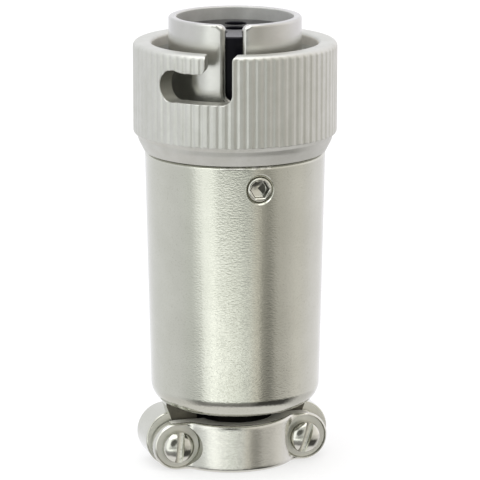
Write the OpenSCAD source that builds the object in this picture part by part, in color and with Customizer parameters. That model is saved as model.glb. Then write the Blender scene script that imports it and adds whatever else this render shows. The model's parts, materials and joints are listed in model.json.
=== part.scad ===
// Circular bayonet cable plug: fluted coupling ring, keyed sleeve, cast back shell and saddle clamp.
// The plug stands on its clamp. Its axis is Z, the mating end is up, and the clamp screws face -Y.

/* [Coupling ring] */
// Outer diameter over the flutes
ring_d = 24.56; // [22.2:0.1:27]
// Length of the ring along the axis
ring_l = 13.27; // [12.6:0.1:15]
// Wall round the bore, which takes the mating shell
ring_wall = 2.28; // [2.1:0.02:2.5]
// How far the tail draws in
ring_tail_drop = 1.3; // [1:0.02:1.5]
// Length of the tail
ring_tail_l = 2.4; // [1.8:0.1:3]
// Chamfer at the tail's front, where the flutes run out
ring_tail_chamfer = 0.46; // [0.35:0.02:0.6]
// Length of the belt between that chamfer and the tail's cone
ring_tail_belt_l = 0.6; // [0.4:0.05:0.9]
// Thickness of the inner web that the spring pushes back
ring_web_t = 2; // [1.6:0.1:2.6]
// Rounding of the front outer edge
ring_edge_r = 0.6; // [0.35:0.05:0.7]
// Number of straight flutes round the ring
flute_count = 72; // [54:1:76]
// Depth of a flute
flute_depth = 0.16; // [0.1:0.02:0.3]
// Radius of a flute's round floor
flute_r = 0.42; // [0.38:0.01:0.44]

/* [Bayonet slots] */
// Number of J-shaped slots
slot_count = 2; // [1:1:3]
// Direction of the first slot's entry, from the clamp's front
slot_azimuth = -25.2; // [-60:1:60]
// Width of the entry
slot_entry_w = 3.2; // [2.6:0.1:3.6]
// Distance from the ring's front face to the slot's floor
slot_floor = 5.75; // [5.2:0.05:6.4]
// Height of the leg that the pin turns along
slot_leg_h = 3.5; // [3:0.1:3.9]
// Turn from the entry to the locking pocket
slot_turn = 28.4; // [24:0.5:36]
// How far the pocket rises above the leg, to hold the pin
slot_detent = 0.22; // [0.1:0.02:0.4]
// Corner radius of the slot's floor and of the tooth
slot_corner_r = 0.85; // [0.4:0.05:1.1]

/* [Plug shell] */
// Room between the sleeve and the ring, for the mating shell
mating_gap = 2; // [1.8:0.05:2.2]
// Wall of the sleeve
sleeve_wall = 0.96; // [0.8:0.02:1.1]
// How far the sleeve stands out of the ring
sleeve_reach = 3.03; // [2:0.1:4]
// Rounding of the sleeve's rim
rim_r = 0.3; // [0.15:0.05:0.4]
// Width of the key slot
key_w = 1.86; // [1.4:0.02:2.4]
// Length of the key slot from the rim
key_l = 9; // [6:0.1:9.6]
// Direction of the key slot, from the clamp's front
key_azimuth = -17; // [-60:1:60]
// Corner radius where the key slot meets the rim
key_corner_r = 0.8; // [0.3:0.05:0.9]
// Gap between the ring and the flange in front of the spring
flange_gap = 0.3; // [0.25:0.01:0.5]
// Thickness of that flange
flange_t = 1.6; // [1.2:0.1:2]
// Step from the sleeve out to the journal that the ring turns on
journal_step = 0.6; // [0.5:0.02:0.8]
// Step from the sleeve out to the rear thread
thread_step = 0.4; // [0.3:0.01:0.45]
// Length of the rear thread
thread_l = 5.5; // [5:0.1:7]

/* [Inserts and contacts] */
// Depth of the insert's face below the rim
face_recess = 1.56; // [0.8:0.05:2.5]
// Wall of the shell round the inserts, under its thread
insert_wall = 0.95; // [0.85:0.01:1.05]
// Thickness of the front insert's collar
insert_collar_t = 3; // [2.4:0.1:3.4]
// Thickness of the rear insert
rear_insert_t = 4; // [3.4:0.1:4.2]
// Thickness of the retaining ring
retainer_t = 0.7; // [0.5:0.05:0.9]
// Depth of the retaining ring's groove
retainer_groove = 0.32; // [0.2:0.02:0.36]
// Opening of the retaining ring, as an angle
retainer_gap = 40; // [20:1:70]
// Number of contacts on the circle round the centre contact
circle_contacts = 5; // [3:1:5]
// Diameter of that circle
contact_pcd = 7.4; // [7.2:0.1:8]
// Diameter of the openings in the insert's face
opening_d = 2.5; // [2.4:0.05:2.8]
// Outer diameter of a socket
socket_d = 2.3; // [2:0.05:2.35]
// Bore of a socket, for the mating pin
socket_bore_d = 1.6; // [1.2:0.05:1.7]
// Depth of a socket's bore
socket_depth = 7; // [5:0.1:9]
// How far a socket lies behind the insert's face
socket_recess = 0.8; // [0.3:0.05:1.5]
// Width of the slit between a socket's tines
socket_slit = 0.3; // [0.2:0.05:0.4]
// Diameter of a contact's collar
contact_collar_d = 2.9; // [2.7:0.05:3]
// Diameter of a solder cup
cup_d = 2.1; // [1.8:0.05:2.2]
// Bore of a solder cup
cup_bore_d = 1.5; // [1.2:0.05:1.6]
// How far a solder cup stands behind the rear insert
cup_l = 4.3; // [3:0.1:6]

/* [Spring stack] */
// Thickness of the thrust washer
washer_t = 0.5; // [0.4:0.05:0.8]
// Height of the wave spring at rest
spring_h = 1.6; // [1.3:0.05:2]
// Thickness of the spring's strip
spring_strip_t = 0.3; // [0.2:0.02:0.4]
// Number of waves
spring_waves = 3; // [3:1:5]

/* [Back shell] */
// Wall at the front end, over the thread
body_wall = 2.52; // [2.3:0.02:2.8]
// How far the barrel draws in from its front end to its rear end
body_taper = 0.65; // [0:0.01:0.7]
// Length of the barrel
body_l = 31.25; // [26:0.25:40]
// Rounding of the rear edge
body_lip_r = 2.5; // [1.5:0.1:2.55]
// Step from the thread in to the wiring cavity
cavity_step = 0.8; // [0.7:0.02:1]
// Gap between the back shell and the ring at rest
ring_gap = 0.1; // [0.05:0.01:0.2]

/* [Set screw] */
// Thread diameter
set_d = 3; // [2:0.1:3.4]
// How far the screw's end lies below the barrel's surface
set_sunk = 0.1; // [0:0.02:0.3]
// Distance of its axis from the back shell's front face
set_from_front = 2.8; // [2.5:0.1:3.6]
// Width across the flats of its socket
set_hex = 1.5; // [0.9:0.05:1.6]
// Depth of its socket
set_hex_depth = 1.2; // [0.8:0.05:1.4]
// Diameter of the chamfered mouth of its hole
set_mouth_d = 3.7; // [3.5:0.05:4]

/* [Cable clamp] */
// Distance between the clamp screws
clamp_pitch = 16.1; // [15.6:0.1:18]
// Height of the fixed saddle
saddle_h = 7; // [6.2:0.1:8]
// Thickness of the fixed saddle's lugs
saddle_t = 5; // [3.5:0.1:5.5]
// How far the saddle's face lies in front of the axis
saddle_face = 1; // [0.3:0.05:1.2]
// Height of the neck between the saddle and the barrel
neck_h = 0.76; // [0.5:0.02:2]
// Wall of the neck at the barrel
neck_wall = 1.5; // [1.2:0.05:2]
// Diameter of the throat that holds the cable
throat_d = 9.2; // [7:0.1:9.8]
// Straight length of the throat below the funnel
throat_l = 2.2; // [1:0.1:3]
// Height of the loose strap
strap_h = 6; // [5.6:0.1:6.2]
// Thickness of the strap's ears
ear_t = 1.7; // [1.2:0.05:2]
// Gap between the ears and the saddle
clamp_gap = 0.3; // [0.3:0.05:2]
// How far the strap's crown stands out of its ears
crown_rise = 3.3; // [2.8:0.1:4]
// Radius of the crown's outer face
crown_r = 6.4; // [6:0.1:8]
// Radius of the hollow where the crown runs into an ear
crown_fillet_r = 1.3; // [0.6:0.1:2]
// Diameter of the spot faces under the screw heads
spot_d = 5.5; // [4.6:0.05:5.6]
// Depth of the spot faces
spot_depth = 0.4; // [0.2:0.02:0.6]

/* [Clamp screws] */
// Thread diameter
screw_d = 2.2; // [1.8:0.05:2.4]
// Length under the head
screw_l = 6.2; // [5:0.1:7]
// Head diameter
screw_head_d = 3.9; // [3.4:0.05:4.4]
// Head height
screw_head_h = 1.5; // [1.1:0.05:1.9]
// Width of the driver slot
screw_slot_w = 0.65; // [0.4:0.05:0.8]
// Depth of the driver slot
screw_slot_depth = 0.8; // [0.5:0.05:1]
// Lean of the left screw's slot from upright
left_slot_lean = 5; // [-90:1:90]
// Lean of the right screw's slot from upright
right_slot_lean = 18; // [-90:1:90]

/* [Fits] */
// Radial clearance of pieces that turn or slide
running_gap = 0.06; // [0.03:0.01:0.09]
// Radial clearance of pieces that are screwed or pushed home
loose_gap = 0.04; // [0.02:0.01:0.08]
// Gap between flat faces that seat on each other
seat_gap = 0.02; // [0:0.005:0.04]

/* [Hidden] */
$fn = 96;
arc_steps = 6;
overcut = 1;
ring_r = ring_d / 2;
ring_bore_r = ring_r - ring_wall;
sleeve_r = ring_bore_r - mating_gap;
sleeve_bore_r = sleeve_r - sleeve_wall;
flange_r = ring_bore_r - flange_gap;
journal_r = sleeve_r + journal_step;
thread_r = sleeve_r + thread_step;
insert_r = thread_r - insert_wall;
body_front_r = thread_r + body_wall;
body_rear_r = body_front_r - body_taper;
cavity_r = thread_r - cavity_step;
throat_r = throat_d / 2;
screw_r = screw_d / 2;
set_r = set_d / 2;
collar_r = contact_collar_d / 2;
edge_break = 0.15;
front_chamfer = 0.25;
ring_mouth_chamfer = 0.2;

// Levels along the axis, from the clamp up to the rim
body_z0 = saddle_h + neck_h;
body_z1 = body_z0 + body_l;
ring_z0 = body_z1 + ring_gap;
ring_z1 = ring_z0 + ring_l;
rim_z = ring_z1 + sleeve_reach;
web_z1 = ring_z0 + ring_web_t;
washer_z0 = web_z1 + seat_gap;
spring_z0 = washer_z0 + washer_t + seat_gap;
flange_z0 = spring_z0 + spring_h + seat_gap;
flange_z1 = flange_z0 + flange_t;
journal_z0 = body_z1 + seat_gap;
thread_z0 = body_z1 - thread_l;
thread_relief = 1;
face_z = rim_z - face_recess;
shoulder_drop = 0.5;
shoulder_z = flange_z0 - shoulder_drop;
split_z = shoulder_z - seat_gap - insert_collar_t;
rear_insert_z0 = split_z - seat_gap - rear_insert_t;
retainer_z1 = rear_insert_z0 - seat_gap;
retainer_z0 = retainer_z1 - retainer_t;
collar_half_t = 0.6;
cup_end_z = rear_insert_z0 - cup_l;
cup_depth = cup_l - 0.8;
set_z = body_z1 - set_from_front;

// Distances in front of the axis, at the clamp
ear_back = saddle_face + clamp_gap;
ear_face = ear_back + ear_t;
spot_face = ear_face - spot_depth;
crown_face = ear_face + crown_rise;
clamp_screw_z = strap_h / 2;

contact_count = circle_contacts + 1;
CONTACTS = [for (i = [1:contact_count]) str("socket_contact_", i)];

// Points of an arc round a centre, from one angle to another
function arc(centre, r, from, to, steps = arc_steps) =
  [for (i = [0:steps]) let (a = from + (to - from) * i / steps) centre + r * [cos(a), sin(a)]];

// Point on the plan at a radius, at an angle from the clamp's front
function plan_point(r, azimuth) = r * [sin(azimuth), -cos(azimuth)];

// Outer radius of the back shell at a level between its rear rounding and its front chamfer
function body_r(z) =
  body_rear_r + body_taper * (z - body_z0 - body_lip_r) / (body_l - body_lip_r - front_chamfer);

// Outlines drawn in X and Z, pushed out towards -Y between two distances from the axis
module push_out(from, to) {
  translate([0, -from, 0]) rotate([90, 0, 0]) linear_extrude(to - from) children();
}

// Round tool along Y, between two distances in front of the axis
module cross_hole(r, from, to) {
  translate([0, -from, 0]) rotate([90, 0, 0]) cylinder(r = r, h = to - from);
}

// Flat bar with round ends, drawn in X and Z, standing on Z = 0
module bar_outline(pitch, h) {
  translate([-pitch / 2, 0]) square([pitch, h]);
  for (side = [-1, 1])
    translate([side * pitch / 2, h / 2]) circle(h / 2);
}

// Coupling ring

// The belt leans in a little, and the cone starts below it
tail_lean = 0.16;
tail_belt_z1 = ring_z0 + ring_tail_l - ring_tail_chamfer;

ring_profile = concat(
  [[journal_r + running_gap, ring_z0], [ring_r - ring_tail_drop, ring_z0]],
  [[ring_r - ring_tail_chamfer - tail_lean, tail_belt_z1 - ring_tail_belt_l]],
  [[ring_r - ring_tail_chamfer, tail_belt_z1], [ring_r, ring_z0 + ring_tail_l]],
  arc([ring_r - ring_edge_r, ring_z1 - ring_edge_r], ring_edge_r, 0, 90, 4),
  [[ring_bore_r + ring_mouth_chamfer, ring_z1], [ring_bore_r, ring_z1 - ring_mouth_chamfer]],
  [[ring_bore_r, web_z1], [journal_r + running_gap, web_z1]]
);

slot_z0 = ring_z1 - slot_floor;
slot_leg_z1 = slot_z0 + slot_leg_h;
pocket_dip = 0.06;
pocket_r = (slot_leg_h + slot_detent + pocket_dip) / 2;
pocket_slope = 1.3;
// The leg ends inside the pocket, this far short of its middle
pocket_turn = 1.5;
slot_reach_in = ring_bore_r - overcut;
slot_reach_out = ring_r + overcut;

// Entry of a slot, with the tooth's round corner on its left and the floor's on its right
module slot_entry_outline() {
  half = slot_entry_w / 2;
  r = slot_corner_r;
  mouth_r = ring_edge_r;
  polygon(concat(
    [[-half - r, slot_z0]],
    arc([half - r, slot_z0 + r], r, -90, 0),
    arc([half + mouth_r, ring_z1 - mouth_r], mouth_r, 180, 90, 3),
    [[half + mouth_r, ring_z1 + overcut], [-half - mouth_r, ring_z1 + overcut]],
    arc([-half - mouth_r, ring_z1 - mouth_r], mouth_r, 90, 0, 3),
    arc([-half - r, slot_leg_z1 + r], r, 0, -90)
  ));
}

// Locking pocket, a little taller than the leg both ways; its right end lies inside the leg
module slot_pocket_outline() {
  top = slot_leg_z1 + slot_detent;
  polygon(concat(
    arc([0, top - pocket_r], pocket_r, 90, 330, 2 * arc_steps),
    [[pocket_slope * 4 / 3, slot_leg_z1 - slot_detent / 2], [pocket_slope / 3, top]]
  ));
}

module bayonet_slot() {
  far = 2 * ring_r;
  leg_turn = slot_turn - pocket_turn;
  push_out(slot_reach_in, slot_reach_out) slot_entry_outline();
  rotate([0, 0, -slot_turn]) push_out(slot_reach_in, slot_reach_out) slot_pocket_outline();
  translate([0, 0, slot_z0]) linear_extrude(slot_leg_h) polygon([
    plan_point(slot_reach_in, 0),
    plan_point(far, 0),
    plan_point(far, -leg_turn),
    plan_point(slot_reach_in, -leg_turn)
  ]);
}

// Turned blank with its flutes, which run out on the front rounding and on the tail's chamfer
module fluted_ring() {
  difference() {
    rotate_extrude() polygon(ring_profile);
    for (i = [0:flute_count - 1])
      rotate([0, 0, i * 360 / flute_count])
        translate([0, -(ring_r + flute_r - flute_depth), ring_z0])
          cylinder(r = flute_r, h = ring_l + overcut);
  }
}

module coupling_ring() {
  color("silver") difference() {
    fluted_ring();
    for (i = [0:slot_count - 1])
      rotate([0, 0, slot_azimuth + i * 360 / slot_count]) bayonet_slot();
  }
}

// Plug shell

groove_r = insert_r + retainer_groove;

shell_profile = concat(
  [[insert_r, thread_z0], [thread_r, thread_z0], [thread_r, journal_z0], [journal_r, journal_z0]],
  [[journal_r, flange_z0], [flange_r, flange_z0], [flange_r, flange_z1], [sleeve_r, flange_z1]],
  arc([sleeve_r - rim_r, rim_z - rim_r], rim_r, 0, 90, 4),
  [[sleeve_bore_r + edge_break, rim_z], [sleeve_bore_r, rim_z - edge_break]],
  [[sleeve_bore_r, shoulder_z], [insert_r, shoulder_z]],
  [[insert_r, retainer_z1], [groove_r, retainer_z1], [groove_r, retainer_z0], [insert_r, retainer_z0]]
);

// Key slot with a round end, whose corners open out at the rim
module key_outline() {
  half = key_w / 2;
  r = key_corner_r;
  polygon(concat(
    arc([0, rim_z - key_l + half], half, 180, 360),
    arc([half + r, rim_z - r], r, 180, 90),
    [[half + r, rim_z + overcut], [-half - r, rim_z + overcut]],
    arc([-half - r, rim_z - r], r, 90, 0)
  ));
}

module plug_shell() {
  color("gainsboro") difference() {
    rotate_extrude() polygon(shell_profile);
    rotate([0, 0, key_azimuth]) push_out(sleeve_bore_r - overcut, sleeve_r + overcut) key_outline();
  }
}

// Inserts and contacts

front_insert_profile = [
  [0, split_z],
  [insert_r - loose_gap, split_z],
  [insert_r - loose_gap, shoulder_z - seat_gap],
  [sleeve_bore_r - loose_gap, shoulder_z - seat_gap],
  [sleeve_bore_r - loose_gap, face_z - front_chamfer],
  [sleeve_bore_r - loose_gap - front_chamfer, face_z],
  [0, face_z]
];

// Places the centre contact first, then those on the circle, the first of them opposite the key
module contact_place(i) {
  turn = key_azimuth + 180 + (i - 2) * 360 / circle_contacts;
  rotate([0, 0, i == 1 ? key_azimuth : turn])
    translate([0, i == 1 ? 0 : -contact_pcd / 2, 0]) children();
}

// Pockets on both sides of the split, for the contacts' collars
module collar_pockets() {
  for (i = [1:contact_count])
    contact_place(i) translate([0, 0, split_z - collar_half_t - seat_gap])
      cylinder(r = collar_r + loose_gap, h = 2 * (collar_half_t + seat_gap));
}

module front_insulator() {
  color("dimgray") difference() {
    rotate_extrude() polygon(front_insert_profile);
    collar_pockets();
    for (i = [1:contact_count])
      contact_place(i) translate([0, 0, split_z - overcut])
        cylinder(d = opening_d, h = face_z - split_z + 2 * overcut);
  }
}

module rear_insulator() {
  color("dimgray") difference() {
    translate([0, 0, rear_insert_z0]) cylinder(r = insert_r - loose_gap, h = rear_insert_t);
    collar_pockets();
    for (i = [1:contact_count])
      contact_place(i) translate([0, 0, rear_insert_z0 - overcut])
        cylinder(r = cup_d / 2 + loose_gap, h = rear_insert_t + 2 * overcut);
  }
}

module retaining_ring() {
  outer = groove_r - loose_gap;
  inner = insert_r - 2.5 * retainer_groove;
  far = 2 * outer;
  color("slategray") translate([0, 0, retainer_z0 + seat_gap / 2]) difference() {
    cylinder(r = outer, h = retainer_t - seat_gap);
    translate([0, 0, -overcut]) cylinder(r = inner, h = retainer_t + 2 * overcut);
    translate([0, 0, -overcut]) linear_extrude(retainer_t + 2 * overcut) polygon([
      [0, 0],
      plan_point(far, 180 - retainer_gap / 2),
      plan_point(far, 180 + retainer_gap / 2)
    ]);
  }
}

contact_top = face_z - socket_recess;

contact_profile = [
  [0, cup_end_z + cup_depth],
  [cup_bore_d / 2, cup_end_z + cup_depth],
  [cup_bore_d / 2, cup_end_z],
  [cup_d / 2, cup_end_z],
  [cup_d / 2, split_z - collar_half_t],
  [collar_r, split_z - collar_half_t],
  [collar_r, split_z + collar_half_t],
  [socket_d / 2, split_z + collar_half_t],
  [socket_d / 2, contact_top - edge_break],
  [socket_d / 2 - edge_break, contact_top],
  [socket_bore_d / 2, contact_top],
  [socket_bore_d / 2, contact_top - socket_depth],
  [0, contact_top - socket_depth]
];

module socket_contact(i) {
  slit_l = 0.7 * socket_depth;
  color("gold") contact_place(i) difference() {
    rotate_extrude() polygon(contact_profile);
    translate([-socket_d, -socket_slit / 2, contact_top - slit_l])
      cube([2 * socket_d, socket_slit, slit_l + overcut]);
    translate([-cup_d, -cup_d - cup_bore_d / 4, cup_end_z - overcut])
      cube([2 * cup_d, cup_d, 0.7 * cup_depth + overcut]);
  }
}

// Spring stack

spring_in_r = journal_r + 0.25;
spring_out_r = flange_r - 0.1;
spring_segments = 24 * spring_waves;

// Four corners of the strip at one step round the spring
function strip_corners(step) =
  let (
    a = step * 360 / spring_segments,
    z = spring_z0 + (spring_h - spring_strip_t) * (1 + cos(spring_waves * a)) / 2,
    direction = [cos(a), sin(a)]
  )
  [for (corner = [[spring_in_r, 0], [spring_out_r, 0], [spring_out_r, 1], [spring_in_r, 1]])
    concat(corner[0] * direction, z + corner[1] * spring_strip_t)];

module wave_spring() {
  points = [for (step = [0:spring_segments - 1]) each strip_corners(step)];
  faces = [for (step = [0:spring_segments - 1], side = [0:3])
    let (
      here = 4 * step,
      next = 4 * ((step + 1) % spring_segments),
      other = (side + 1) % 4
    )
    each [[here + side, here + other, next + other], [here + side, next + other, next + side]]];
  color("lightsteelblue") polyhedron(points, faces);
}

module thrust_washer() {
  color("lightgray") translate([0, 0, washer_z0]) difference() {
    cylinder(r = flange_r, h = washer_t);
    translate([0, 0, -overcut]) cylinder(r = journal_r + running_gap, h = washer_t + 2 * overcut);
  }
}

// Back shell

body_profile = concat(
  [[0, body_z0]],
  arc([body_rear_r - body_lip_r, body_z0 + body_lip_r], body_lip_r, -90, 0, 10),
  [[body_front_r, body_z1 - front_chamfer], [body_front_r - front_chamfer, body_z1]],
  [[0, body_z1]]
);

// The neck leaves the barrel at its rear rounding and ends round the throat
neck_top_z = body_z0 + body_lip_r / 2;
neck_profile = [
  [0, 0],
  [throat_r + neck_wall, 0],
  [throat_r + neck_wall, throat_l],
  [cavity_r + neck_wall, body_z0],
  [cavity_r + neck_wall, neck_top_z],
  [0, neck_top_z]
];

// Distance of the barrel's surface from the axis, at the set screw
set_surface = body_r(set_z);

// Room inside: throat, funnel, wiring cavity and thread
inside_profile = [
  [0, -overcut],
  [throat_r, -overcut],
  [throat_r, throat_l],
  [cavity_r, body_z0],
  [cavity_r, thread_z0 - thread_relief],
  [thread_r + loose_gap, thread_z0 - thread_relief],
  [thread_r + loose_gap, body_z1 + overcut],
  [0, body_z1 + overcut]
];

module back_shell() {
  mouth_depth = set_mouth_d / 2 - set_r;
  wide = 2 * ring_r;
  color("darkgray") difference() {
    union() {
      rotate_extrude() polygon(body_profile);
      intersection() {
        rotate_extrude() polygon(neck_profile);
        translate([-wide / 2, -saddle_face, -overcut]) cube([wide, wide, wide]);
      }
      push_out(saddle_face - saddle_t, saddle_face) bar_outline(clamp_pitch, saddle_h);
    }
    rotate_extrude() polygon(inside_profile);
    for (side = [-1, 1])
      translate([side * clamp_pitch / 2, 0, clamp_screw_z])
        cross_hole(screw_r + running_gap, saddle_face - saddle_t - overcut, saddle_face + overcut);
    translate([0, 0, set_z]) cross_hole(set_r + loose_gap, 0, set_surface + overcut);
    translate([0, -set_surface + mouth_depth, set_z]) rotate([90, 0, 0])
      cylinder(r1 = set_r, r2 = set_mouth_d / 2 + mouth_depth, h = 2 * mouth_depth);
  }
}

// Socket set screw, from its tip outwards
set_l = set_surface - set_sunk - thread_r - seat_gap;
set_profile = [
  [0, 0],
  [set_r - 2 * edge_break, 0],
  [set_r, 2 * edge_break],
  [set_r, set_l - edge_break],
  [set_r - edge_break, set_l],
  [0, set_l]
];

module set_screw() {
  color("whitesmoke") translate([0, -(thread_r + seat_gap), set_z]) rotate([90, 0, 0]) difference() {
    rotate_extrude() polygon(set_profile);
    translate([0, 0, set_l - set_hex_depth]) rotate([0, 0, 30])
      cylinder(d = set_hex / cos(30), h = set_hex_depth + overcut, $fn = 6);
  }
}

// Cable clamp

// The crown runs into each ear over a round hollow, and they touch where their middles are in line
crown_y = crown_r - crown_face;
hollow_y = -ear_face - crown_fillet_r;
hollow_x = sqrt(pow(crown_r + crown_fillet_r, 2) - pow(crown_y - hollow_y, 2));
touch = atan2(crown_y - hollow_y, hollow_x);

// Plan of the strap: two ears, and a crown over the throat
module strap_plan() {
  half = clamp_pitch / 2 + strap_h;
  difference() {
    polygon(concat(
      [[-half, -ear_back], [-half, -ear_face]],
      arc([-hollow_x, hollow_y], crown_fillet_r, 90, touch),
      arc([0, crown_y], crown_r, 180 + touch, 360 - touch, 4 * arc_steps),
      arc([hollow_x, hollow_y], crown_fillet_r, 180 - touch, 90),
      [[half, -ear_face], [half, -ear_back]]
    ));
    circle(throat_r);
  }
}

module clamp_strap() {
  color("darkgray") difference() {
    intersection() {
      linear_extrude(strap_h) strap_plan();
      push_out(0, crown_face + overcut) bar_outline(clamp_pitch, strap_h);
    }
    for (side = [-1, 1])
      translate([side * clamp_pitch / 2, 0, clamp_screw_z]) {
        cross_hole(spot_d / 2, spot_face, crown_face + overcut);
        cross_hole(screw_r + loose_gap, ear_back - overcut, crown_face);
      }
  }
}

// Pan-head screw, from its tip outwards
screw_head_r = screw_head_d / 2;
head_edge_h = 0.4 * screw_head_h;
screw_profile = concat(
  [[0, 0], [screw_r - 2 * edge_break, 0], [screw_r, 2 * edge_break], [screw_r, screw_l]],
  [[screw_head_r, screw_l]],
  [for (i = [0:arc_steps]) let (a = 90 * i / arc_steps)
    [screw_head_r * (0.45 + 0.55 * cos(a)), screw_l + head_edge_h + (screw_head_h - head_edge_h) * sin(a)]],
  [[0, screw_l + screw_head_h]]
);

module clamp_screw(side, lean) {
  color("whitesmoke")
    translate([side * clamp_pitch / 2, -(spot_face + seat_gap - screw_l), clamp_screw_z]) rotate([90, 0, 0])
      difference() {
        rotate_extrude() polygon(screw_profile);
        rotate([0, 0, -lean])
          translate([-screw_slot_w / 2, -screw_head_d, screw_l + screw_head_h - screw_slot_depth])
            cube([screw_slot_w, 2 * screw_head_d, screw_slot_depth + overcut]);
      }
}

coupling_ring();
plug_shell();
front_insulator();
rear_insulator();
retaining_ring();
for (i = [1:contact_count])
  socket_contact(i);
wave_spring();
thrust_washer();
back_shell();
set_screw();
clamp_strap();
clamp_screw(-1, left_slot_lean);  // clamp_screw_left
clamp_screw(1, right_slot_lean);  // clamp_screw_right
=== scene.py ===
"""Looks of the round bayonet cable plug: rounded metalwork, threads, finishes with painted light and shade on
some faces, light and camera.

Lengths are in millimetres until a mesh is made. Z is the plug's axis, and the clamp screws face -Y.
An azimuth is the angle round the axis from -Y towards +X.
"""

import cmath
import json
import math

import bmesh
import bpy
from mathutils import Matrix, Vector


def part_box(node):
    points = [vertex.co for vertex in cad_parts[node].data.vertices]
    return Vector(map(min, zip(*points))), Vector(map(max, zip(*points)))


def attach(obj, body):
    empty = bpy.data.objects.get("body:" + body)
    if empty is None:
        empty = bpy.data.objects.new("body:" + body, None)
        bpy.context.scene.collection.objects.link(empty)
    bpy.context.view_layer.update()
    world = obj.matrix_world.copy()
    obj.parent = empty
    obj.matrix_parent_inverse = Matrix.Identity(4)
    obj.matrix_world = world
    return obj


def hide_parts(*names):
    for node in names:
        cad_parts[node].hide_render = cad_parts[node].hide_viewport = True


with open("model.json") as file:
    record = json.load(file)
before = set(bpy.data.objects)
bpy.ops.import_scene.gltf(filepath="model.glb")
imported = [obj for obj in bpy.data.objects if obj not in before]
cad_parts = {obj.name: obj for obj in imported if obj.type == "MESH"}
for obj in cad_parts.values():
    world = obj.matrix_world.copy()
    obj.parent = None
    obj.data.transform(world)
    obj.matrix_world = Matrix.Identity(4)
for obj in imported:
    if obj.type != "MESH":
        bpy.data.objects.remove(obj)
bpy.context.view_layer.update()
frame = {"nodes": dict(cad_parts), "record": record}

# A millimetre in metres, how far a tool reaches past a face, the distance that is welded, clearances,
# and the rounding of a broken edge
MM = 0.001
OVERCUT = 1.0
WELD = 1e-4
FIT_GAP = 0.04
SEAT_GAP = 0.02
BROKEN_R = 0.1


def low(node):
    """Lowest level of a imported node."""
    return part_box(node)[0].z / MM


def high(node):
    """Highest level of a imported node."""
    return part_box(node)[1].z / MM


# Coupling ring
RING_Z0 = low("coupling_ring")
RING_Z1 = high("coupling_ring")
RING_R = 12.28
RING_BORE_R = 10.0
RING_WEB_R = 8.66
RING_WEB_T = 2.0
RING_EDGE_R = 0.6
RING_CORNER_R = 0.2
RING_MOUTH_R = 0.5
RING_MOUTH_Z = RING_Z1 - 1.4
TAIL_DROP = 1.3
TAIL_L = 2.4
TAIL_CHAMFER = 0.46
TAIL_STEP_R = 0.3
TAIL_BELT_L = 0.6
TAIL_BELT_R = 0.6
TAIL_LEAN = 0.16
TAIL_CONE_R = 2.0
FLUTES = 72
FLUTE_DEPTH = 0.1
FLUTE_R = 0.42
FLUTE_BLEND = 0.09
FLUTE_COLUMNS = 16

# Bayonet slots; the shares are places along a slot's turn
SLOT_AZIMUTHS = (-25.2, 154.8)
SLOT_ENTRY_W = 3.2
SLOT_Z0 = RING_Z1 - 5.75
SLOT_LEG_Z1 = SLOT_Z0 + 3.5
SLOT_TURN = 28.4
SLOT_CORNER_R = 0.85
SLOT_FLOOR_R = 1.2
SLOT_MOUTH_R = 0.6
SLOT_TOOTH_R = 0.25
SLOT_EDGE_IN = 0.1
SLOT_EDGE_OUT = 0.16
SLOT_TOOL_REACH = 4.0
LEG_SHARES = (0.48, 0.56, 0.64, 0.72)
FLOOR_SHARES = (0.85, 0.7, 0.55, 0.4, 0.25, 0.1)
POCKET_TOP = SLOT_LEG_Z1 + 0.22
POCKET_R = 1.89
POCKET_START = 95
POCKET_SLOPE = 1.3
POCKET_SLOPE_END = POCKET_SLOPE / 3

# Plug shell
RIM_Z = high("plug_shell")
RIM_R = 0.3
RIM_BORE_R = 0.2
SHELL_Z0 = low("plug_shell")
SHELL_END_R = 0.25
SLEEVE_R = 8.0
SLEEVE_BORE_R = 7.04
SLEEVE_FOOT_R = 0.25
INSERT_R = 7.45
THREAD_R = 8.4
JOURNAL_R = 8.6
JOURNAL_EDGE_R = 0.05
FLANGE_R = 9.7
FLANGE_Z1 = RING_Z0 + 5.76
FLANGE_Z0 = FLANGE_Z1 - 1.6
FLANGE_BACK_R = 0.12
FLANGE_FRONT_R = 0.15
SHOULDER_Z = FLANGE_Z0 - 0.5
GROOVE_R = 7.77
GROOVE_GAP = 0.01
KEY_W = 1.86
KEY_L = 9.0
KEY_AZIMUTH = -17.0
KEY_CORNER_R = 0.8
KEY_EDGE_IN = 0.12
KEY_EDGE_OUT = 0.7

# Insert and contacts; the mouth's points are outwards and up from an opening's edge
FACE_Z = high("front_insulator")
FACE_EDGE_R = 0.3
STEP_Z = RING_Z0 + 3.64
SPLIT_Z = low("front_insulator")
OPENING_R = 1.25
OPENING_MOUTH = ((0, -0.2), (0.03, -0.1), (0.08, -0.03), (0.16, 0.02), (0.5, 0.2))
COLLAR_R = 1.49
COLLAR_HALF = 0.62
CONTACT_CIRCLE_R = 3.7
CIRCLE_CONTACTS = 5

# Back shell
BODY_Z1 = high("back_shell")
BODY_Z0 = BODY_Z1 - 31.25
BODY_FRONT_R = 10.92
BODY_REAR_R = 10.27
BODY_LIP_R = 2.5
BODY_CHAMFER = 0.25
BODY_EDGE_R = 0.3
CAVITY_R = 7.6
CAVITY_Z1 = SHELL_Z0 - 1
THROAT_R = 4.6
THROAT_L = 2.2
FUNNEL_SHARE = 0.6
FUNNEL_DROP = 0.5
NECK_WALL = 1.5
NECK_TOP = BODY_Z0 + BODY_LIP_R / 2
NECK_SUNK = 0.05
NECK_END_R = 0.3
NECK_BEND_R = 0.8
NECK_FLARE = 0.5
NECK_FLARE_R = 1.5

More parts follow.
